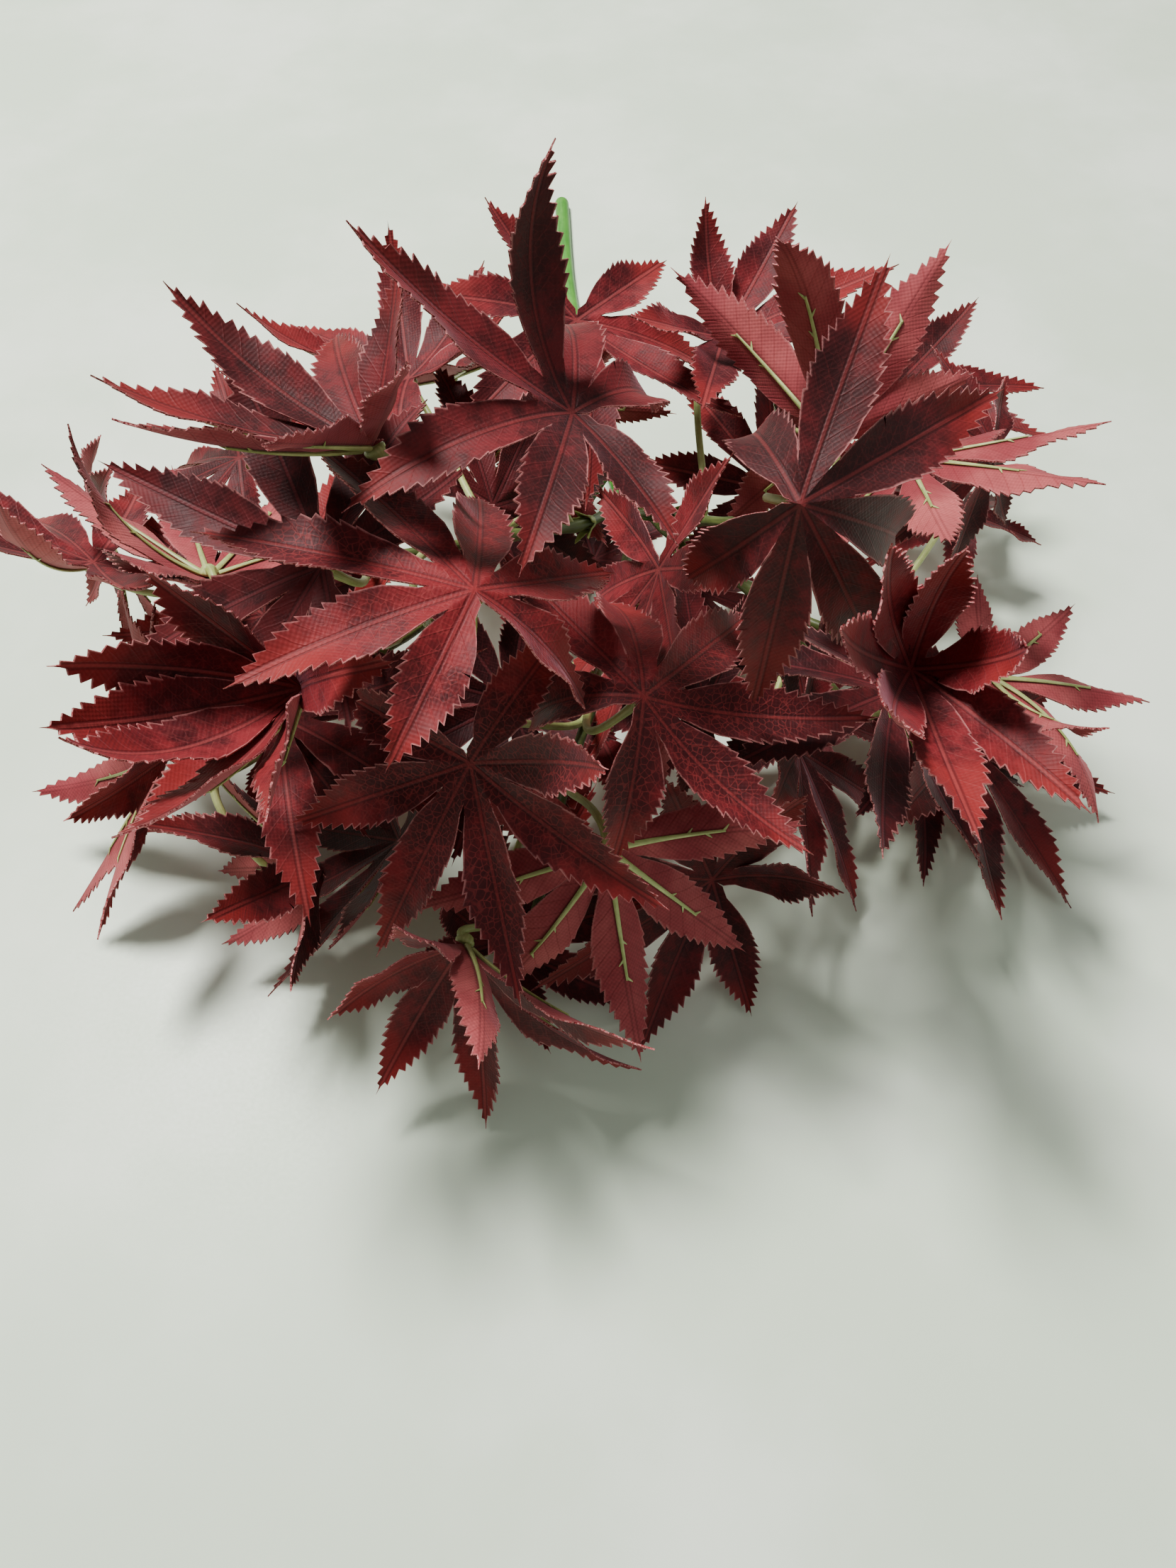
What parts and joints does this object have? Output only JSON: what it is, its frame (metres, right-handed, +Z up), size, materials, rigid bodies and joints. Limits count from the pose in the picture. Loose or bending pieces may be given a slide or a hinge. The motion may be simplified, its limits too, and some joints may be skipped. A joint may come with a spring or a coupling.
{
  "type": "artificial maple leaf spray",
  "caption": "Artificial Japanese-maple spray of dark red serrated cloth leaves on moulded green frames, joined by coated branches to one thick green stem, lying on a surface.",
  "frame": {"origin": "under the middle of the whole spray, on the surface that it lies on", "axes": "+Y along the main stem from the leaf heads to the handle's end, +X to the right side seen from the leaf heads, +Z up"},
  "size_m": [0.307, 0.4002, 0.1812],
  "materials": {
    "stem": "bright leaf-green coated wire stem, satin to slightly glossy",
    "branch": "olive-green coated wire, satin",
    "leaf_frame": "moulded yellow-green plastic rib and petiole, satin",
    "leaf_cloth": "printed woven cloth, mottled burgundy and crimson with pressed veins and frayed pale cut edges"
  },
  "bodies": {
    "root": {"main_stem": "stem", "branch_low_left": "branch", "branch_high_left": "branch", "branch_front": "branch", "branch_high_right": "branch", "branch_low_right": "branch", "leaf_01": "leaf_cloth", "leaf_frame_01": "leaf_frame", "leaf_02": "leaf_cloth", "leaf_frame_02": "leaf_frame", "leaf_03": "leaf_cloth", "leaf_frame_03": "leaf_frame", "leaf_04": "leaf_cloth", "leaf_frame_04": "leaf_frame", "leaf_05": "leaf_cloth", "leaf_frame_05": "leaf_frame", "leaf_06": "leaf_cloth", "leaf_frame_06": "leaf_frame", "leaf_07": "leaf_cloth", "leaf_frame_07": "leaf_frame", "leaf_08": "leaf_cloth", "leaf_frame_08": "leaf_frame", "leaf_09": "leaf_cloth", "leaf_frame_09": "leaf_frame", "leaf_10": "leaf_cloth", "leaf_frame_10": "leaf_frame", "leaf_11": "leaf_cloth", "leaf_frame_11": "leaf_frame", "leaf_12": "leaf_cloth", "leaf_frame_12": "leaf_frame", "leaf_13": "leaf_cloth", "leaf_frame_13": "leaf_frame", "leaf_14": "leaf_cloth", "leaf_frame_14": "leaf_frame", "leaf_15": "leaf_cloth", "leaf_frame_15": "leaf_frame", "leaf_16": "leaf_cloth", "leaf_frame_16": "leaf_frame", "leaf_17": "leaf_cloth", "leaf_frame_17": "leaf_frame", "leaf_18": "leaf_cloth", "leaf_frame_18": "leaf_frame", "leaf_19": "leaf_cloth", "leaf_frame_19": "leaf_frame", "leaf_20": "leaf_cloth", "leaf_frame_20": "leaf_frame", "leaf_21": "leaf_cloth", "leaf_frame_21": "leaf_frame", "leaf_22": "leaf_cloth", "leaf_frame_22": "leaf_frame", "leaf_23": "leaf_cloth", "leaf_frame_23": "leaf_frame", "leaf_24": "leaf_cloth", "leaf_frame_24": "leaf_frame", "leaf_25": "leaf_cloth", "leaf_frame_25": "leaf_frame", "leaf_26": "leaf_cloth", "leaf_frame_26": "leaf_frame", "leaf_27": "leaf_cloth", "leaf_frame_27": "leaf_frame"}
  },
  "joints": []
}
